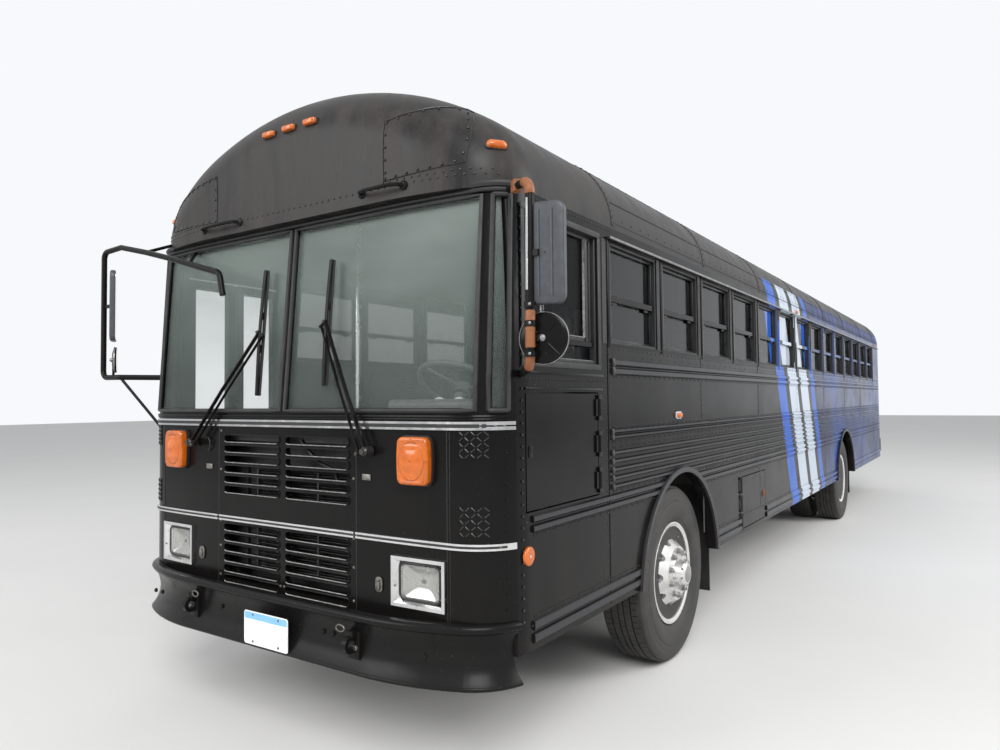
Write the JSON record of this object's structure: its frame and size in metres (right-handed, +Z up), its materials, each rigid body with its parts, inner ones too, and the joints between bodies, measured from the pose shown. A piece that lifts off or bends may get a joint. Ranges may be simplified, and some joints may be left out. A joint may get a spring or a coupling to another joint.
{
  "type": "party bus",
  "caption": "Flat-nosed transit-style party bus with a long row of side windows, ribbed sides, twin rear wheels, big looped mirrors and perimeter bench seats",
  "frame": {"origin": "on the ground, under the middle of the overall box", "axes": "+Z up, -Y toward the nose, +X the driver's side"},
  "size_m": [3.04, 12.0899, 3.0996],
  "materials": {
    "body_black": "satin",
    "roof_grey": "matte",
    "cap_grey": "matte",
    "bumper_black": "satin",
    "chrome": "polished",
    "wheel_chrome": "polished",
    "wheel_steel": "satin",
    "tyre": "matte",
    "glass": "tinted",
    "lens_clear": "clear",
    "lens_amber": "gloss",
    "lens_red": "gloss",
    "frame_black": "satin",
    "mirror_paint": "satin",
    "engine_iron": "cast",
    "radiator_alloy": "satin",
    "tank_alloy": "satin",
    "exhaust_steel": "weathered",
    "flap_rubber": "matte",
    "floor_ply": "matte",
    "cover_vinyl": "matte",
    "dash_plastic": "matte",
    "seat_vinyl": "satin",
    "pole_steel": "polished",
    "plate_white": "satin"
  },
  "bodies": {
    "coach": {"amber_lamps": "lens_amber", "bench_seats": "seat_vinyl", "chassis_frame": "frame_black", "dashboard": "dash_plastic", "drive_shaft": "frame_black", "driver_seat": "seat_vinyl", "engine_block": "engine_iron", "engine_cover": "cover_vinyl", "entry_steps": "floor_ply", "exhaust": "exhaust_steel", "floor_boxes": "floor_ply", "floor_deck": "floor_ply", "front_axle": "frame_black", "front_bumper": "bumper_black", "front_cap": "cap_grey", "front_mask": "body_black", "front_trim": "chrome", "fuel_tank": "tank_alloy", "grille_panel": "body_black", "headlamp_bezels": "chrome", "headlamp_lenses": "lens_clear", "leaf_springs": "frame_black", "left_lower_side": "body_black", "left_mirror": "mirror_paint", "left_window_side": "body_black", "mud_flaps": "flap_rubber", "number_plate": "plate_white", "radiator": "radiator_alloy", "rear_axle": "frame_black", "rear_bumper": "bumper_black", "rear_wall": "body_black", "right_lower_side": "body_black", "right_mirror": "mirror_paint", "right_window_side": "body_black", "roof_shell": "roof_grey", "stanchions": "pole_steel", "tail_lamps": "lens_red", "window_glass": "glass", "windshield_glass": "glass", "wipers": "frame_black"},
    "entry_front": {"entry_door_front_leaf": "body_black", "entry_door_front_glass": "glass"},
    "entry_rear": {"entry_door_rear_leaf": "body_black", "entry_door_rear_glass": "glass"},
    "rear_exit": {"rear_door": "body_black", "rear_door_glass": "glass"},
    "hatch": {"access_hatch": "body_black"},
    "battery": {"battery_door": "body_black"},
    "left_steering": {"left_knuckle": "frame_black"},
    "right_steering": {"right_knuckle": "frame_black"},
    "link": {"tie_rod": "frame_black"},
    "left_front_wheel": {"left_front_tyre": "tyre", "left_front_rim": "wheel_chrome"},
    "right_front_wheel": {"right_front_tyre": "tyre", "right_front_rim": "wheel_chrome"},
    "left_rear_wheels": {"left_rear_tyres": "tyre", "left_rear_rims": "wheel_steel"},
    "right_rear_wheels": {"right_rear_tyres": "tyre", "right_rear_rims": "wheel_steel"},
    "hand_wheel": {"steering_wheel": "dash_plastic"}
  },
  "joints": [
    {"name": "left_steer", "type": "hinge", "parent": "coach", "child": "left_steering", "pos_m": [0.87, -3.89, 0.522], "axis": [0, 0, 1], "range_deg": [-35, 35]},
    {"name": "right_steer", "type": "hinge", "parent": "coach", "child": "right_steering", "pos_m": [-0.87, -3.89, 0.522], "axis": [0, 0, 1], "range_deg": [-35, 35]},
    {"name": "tie_rod_pivot", "type": "hinge", "parent": "left_steering", "child": "link", "pos_m": [0.87, -3.71, 0.396], "axis": [0, 0, 1], "range_deg": [-35, 35]},
    {"name": "left_front_spin", "type": "hinge", "parent": "left_steering", "child": "left_front_wheel", "pos_m": [1.04, -3.89, 0.522], "axis": [1, 0, 0], "continuous": true},
    {"name": "right_front_spin", "type": "hinge", "parent": "right_steering", "child": "right_front_wheel", "pos_m": [-1.04, -3.89, 0.522], "axis": [1, 0, 0], "continuous": true},
    {"name": "left_rear_spin", "type": "hinge", "parent": "coach", "child": "left_rear_wheels", "pos_m": [0.879, 2.155, 0.522], "axis": [1, 0, 0], "continuous": true},
    {"name": "right_rear_spin", "type": "hinge", "parent": "coach", "child": "right_rear_wheels", "pos_m": [-0.879, 2.155, 0.522], "axis": [1, 0, 0], "continuous": true},
    {"name": "entry_front_hinge", "type": "hinge", "parent": "coach", "child": "entry_front", "pos_m": [-1.2275, -5.6265, 1.4], "axis": [0, 0, 1], "range_deg": [0, 90]},
    {"name": "entry_rear_hinge", "type": "hinge", "parent": "coach", "child": "entry_rear", "pos_m": [-1.2275, -4.9535, 1.4], "axis": [0, 0, -1], "range_deg": [0, 90]},
    {"name": "rear_door_hinge", "type": "hinge", "parent": "coach", "child": "rear_exit", "pos_m": [-0.4365, 5.8935, 1.7], "axis": [0, 0, 1], "range_deg": [0, 110]},
    {"name": "hatch_hinge", "type": "hinge", "parent": "coach", "child": "hatch", "pos_m": [1.2275, -5.0065, 1.37], "axis": [0, 0, 1], "range_deg": [0, 100]},
    {"name": "battery_door_hinge", "type": "hinge", "parent": "coach", "child": "battery", "pos_m": [1.2275, -2.6215, 0.79], "axis": [0, 0, -1], "range_deg": [0, 100]},
    {"name": "steering_wheel_turn", "type": "hinge", "parent": "coach", "child": "hand_wheel", "pos_m": [0.66, -5.335, 1.64], "axis": [0, 0.5299, 0.848], "range_deg": [-560, 560]}
  ],
  "couplings": [
    {"joint": "right_steer", "follows": "left_steer", "ratio": 1},
    {"joint": "tie_rod_pivot", "follows": "left_steer", "ratio": -1},
    {"joint": "steering_wheel_turn", "follows": "left_steer", "ratio": 16}
  ]
}
